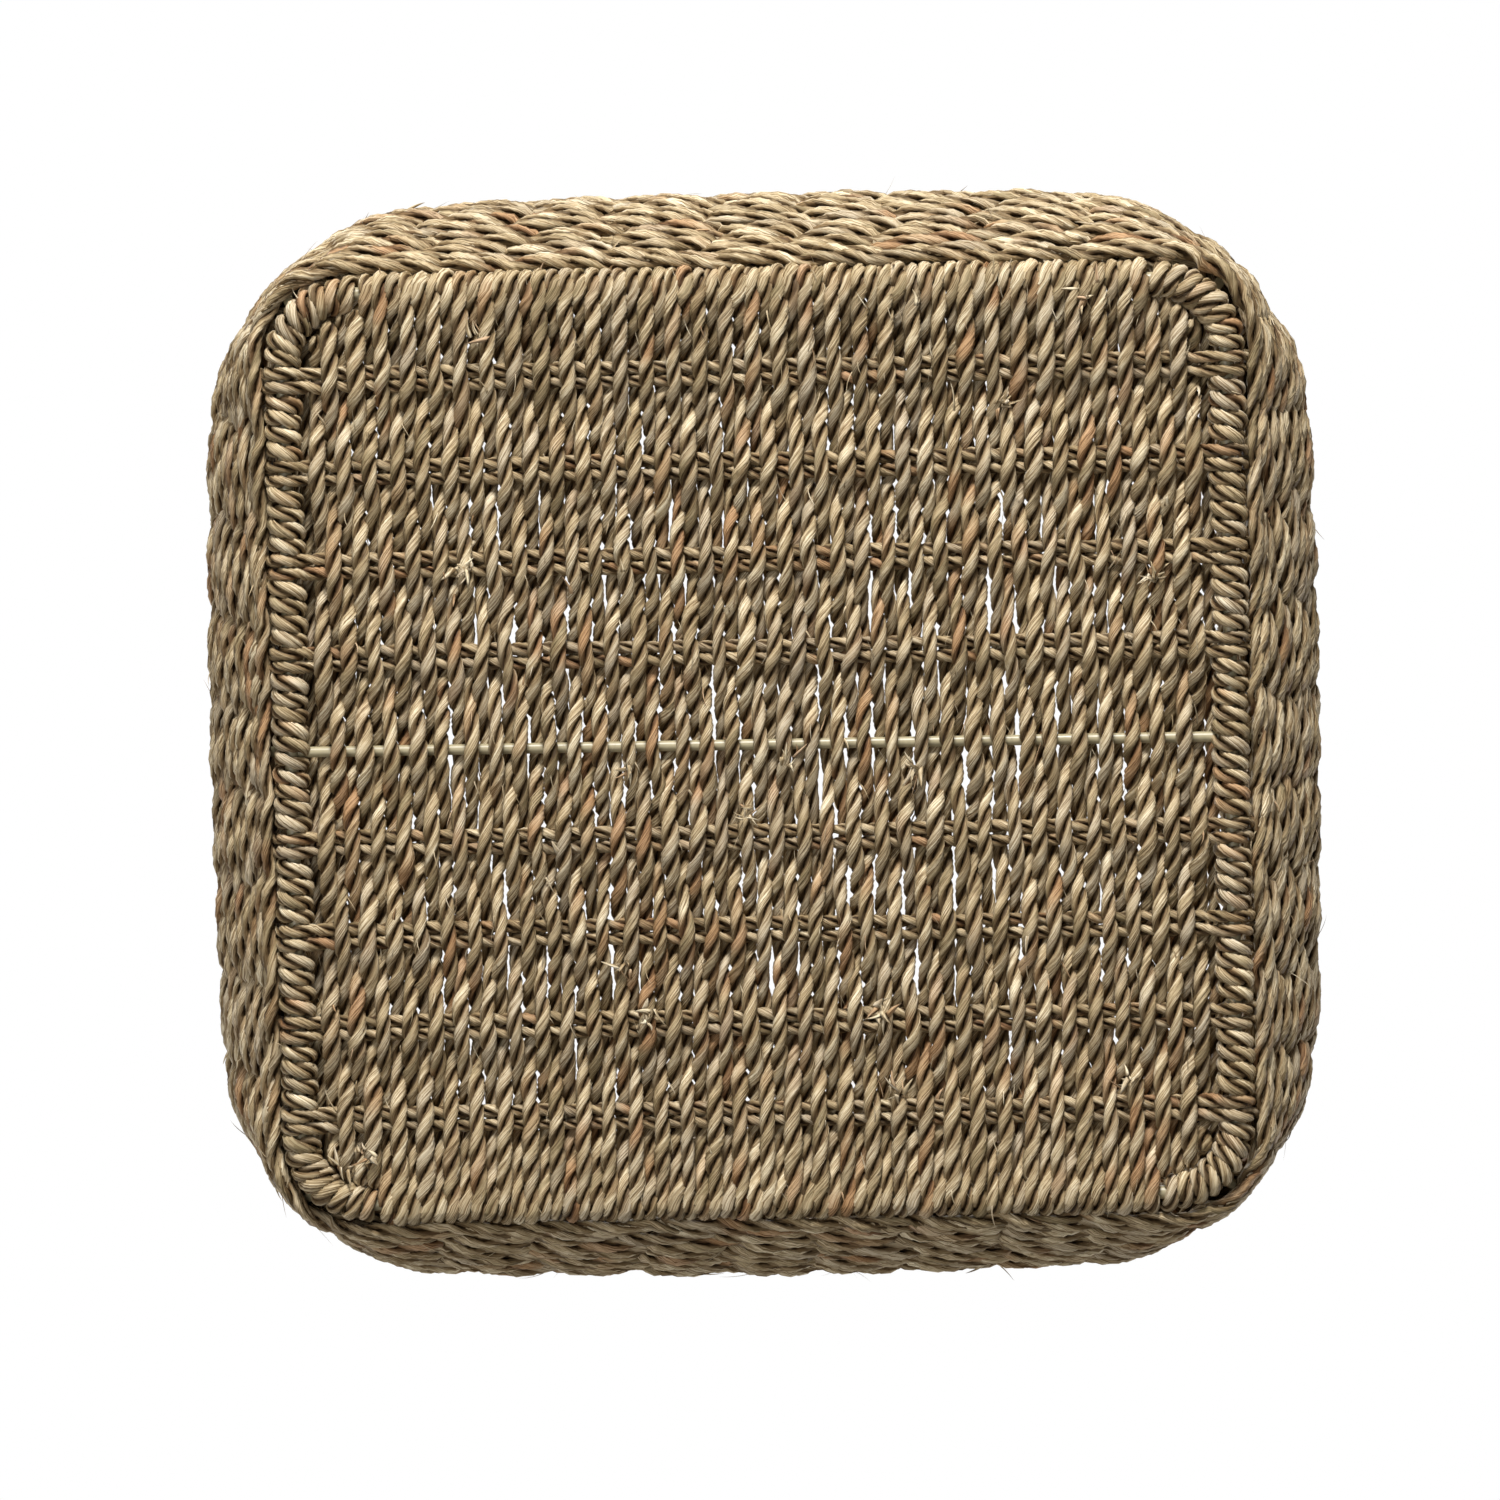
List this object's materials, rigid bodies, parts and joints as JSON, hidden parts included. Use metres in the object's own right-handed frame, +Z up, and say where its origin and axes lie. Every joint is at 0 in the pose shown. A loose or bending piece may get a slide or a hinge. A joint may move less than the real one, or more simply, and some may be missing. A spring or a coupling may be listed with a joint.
{
  "type": "seagrass storage basket",
  "caption": "Open square storage basket of twisted seagrass cord woven on a wire frame, with a woven base, swelling walls and a wrapped rim.",
  "frame": {"origin": "middle of the footprint, on the surface that the basket stands on", "axes": "+Z up through the open top; +X along the cross bar, from rail to rail; +Y along the base cords"},
  "size_m": [0.4244, 0.4144, 0.32],
  "materials": {
    "coated_wire": "satin",
    "seagrass_wrapping": "matte",
    "seagrass_wall": "matte",
    "seagrass_stake": "matte",
    "seagrass_base": "matte"
  },
  "bodies": {
    "root": {"base_ring": "coated_wire", "cross_bar": "coated_wire", "rim_ring": "coated_wire", "side_post_right": "coated_wire", "side_post_left": "coated_wire", "corner_post_back_right": "coated_wire", "corner_post_back_left": "coated_wire", "corner_post_front_left": "coated_wire", "corner_post_front_right": "coated_wire", "base_cords_1": "seagrass_base", "base_cords_2": "seagrass_base", "base_cords_3": "seagrass_base", "base_cords_4": "seagrass_base", "base_stake_front_4": "seagrass_stake", "base_stake_front_3": "seagrass_stake", "base_stake_front_2": "seagrass_stake", "base_stake_front_1": "seagrass_stake", "base_stake_back_1": "seagrass_stake", "base_stake_back_2": "seagrass_stake", "base_stake_back_3": "seagrass_stake", "base_stake_back_4": "seagrass_stake", "front_stakes": "seagrass_stake", "back_stakes": "seagrass_stake", "left_rail_wrap": "seagrass_wrapping", "right_rail_wrap": "seagrass_wrapping", "rim_wrap": "seagrass_wrapping", "wall_course_1": "seagrass_wall", "wall_course_2": "seagrass_wall", "wall_course_3": "seagrass_wall", "wall_course_4": "seagrass_wall", "wall_course_5": "seagrass_wall", "wall_course_6": "seagrass_wall", "wall_course_7": "seagrass_wall", "wall_course_8": "seagrass_wall"}
  },
  "joints": []
}
